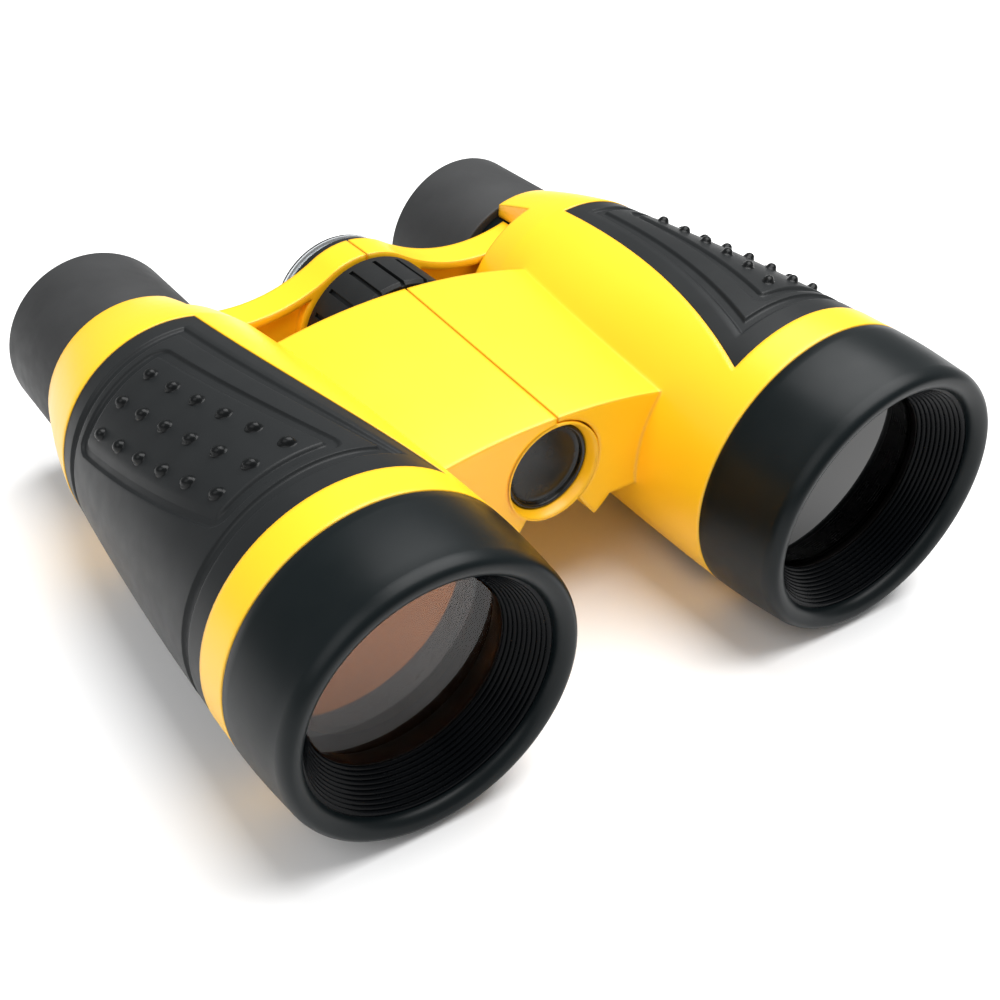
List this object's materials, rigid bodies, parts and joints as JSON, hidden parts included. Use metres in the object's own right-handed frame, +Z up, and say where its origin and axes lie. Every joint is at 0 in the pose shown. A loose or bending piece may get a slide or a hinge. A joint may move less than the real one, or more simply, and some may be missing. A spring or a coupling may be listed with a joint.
{
  "type": "toy binoculars",
  "caption": "Folding toy binoculars: yellow hinged barrels with black studded grips and hoods, a centre focus wheel that drives the eyepiece arms, and a domed compass at the hinge.",
  "frame": {"origin": "on the ground plane under the middle of the part's box, with the barrels level", "axes": "+X to the right barrel seen from the objective end, +Y from the objectives to the eyecups along the hinge, +Z up"},
  "size_m": [0.114, 0.1028, 0.0424],
  "materials": {
    "yellow_shell": "moulded yellow plastic, half gloss",
    "black_grip": "soft moulded black grip, satin",
    "black_trim": "moulded black plastic, satin",
    "black_cup": "soft black plastic, fine matte",
    "black_cap": "moulded black plastic, gloss",
    "black_wheel": "moulded black plastic, satin",
    "coated_lens": "clear plastic lens with an amber reflecting coating",
    "clear_lens": "clear plastic lens",
    "clear_dome": "clear moulded plastic dome",
    "steel": "plain steel",
    "dial_white": "printed white card",
    "brass_pin": "turned brass",
    "needle_red": "thin painted steel"
  },
  "bodies": {
    "left_half": {"left_shell": "yellow_shell", "left_grip": "black_grip", "left_bezel": "black_trim", "left_lens_ring": "black_trim", "left_lens": "coated_lens", "hinge_tube": "steel", "front_cap": "black_cap"},
    "right_half": {"right_shell": "yellow_shell", "right_grip": "black_grip", "right_bezel": "black_trim", "right_lens_ring": "black_trim", "right_lens": "coated_lens"},
    "focus_drive": {"focus_screw": "steel", "focus_wheel": "black_wheel", "screw_nut": "steel"},
    "left_ocular": {"left_arm": "yellow_shell", "left_eyepiece_tube": "black_trim", "left_eyecup": "black_cup", "left_eye_lens": "clear_lens", "compass_case": "black_cap", "compass_dial": "dial_white", "compass_pivot": "brass_pin", "compass_dome": "clear_dome"},
    "right_ocular": {"right_arm": "yellow_shell", "right_eyepiece_tube": "black_trim", "right_eyecup": "black_cup", "right_eye_lens": "clear_lens"},
    "needle": {"compass_needle": "needle_red"}
  },
  "joints": [
    {"name": "fold", "type": "hinge", "parent": "left_half", "child": "right_half", "pos_m": [0, 0, 0.0248], "axis": [0, 1, 0], "range_deg": [0, 65]},
    {"name": "focus_turn", "type": "hinge", "parent": "left_half", "child": "focus_drive", "pos_m": [0, 0, 0.0248], "axis": [0, 1, 0], "range_deg": [0, 252]},
    {"name": "left_focus", "type": "slide", "parent": "left_half", "child": "left_ocular", "axis": [0, 1, 0], "range_m": [0, 0.0035]},
    {"name": "right_focus", "type": "slide", "parent": "right_half", "child": "right_ocular", "axis": [0, 1, 0], "range_m": [0, 0.0035]},
    {"name": "needle_spin", "type": "hinge", "parent": "left_ocular", "child": "needle", "pos_m": [0, 0.033, 0.0248], "axis": [0, 1, 0], "continuous": true}
  ],
  "couplings": [
    {"joint": "focus_turn", "follows": "left_focus", "rad_per_m": 1256.6},
    {"joint": "right_focus", "follows": "left_focus", "ratio": 1}
  ]
}
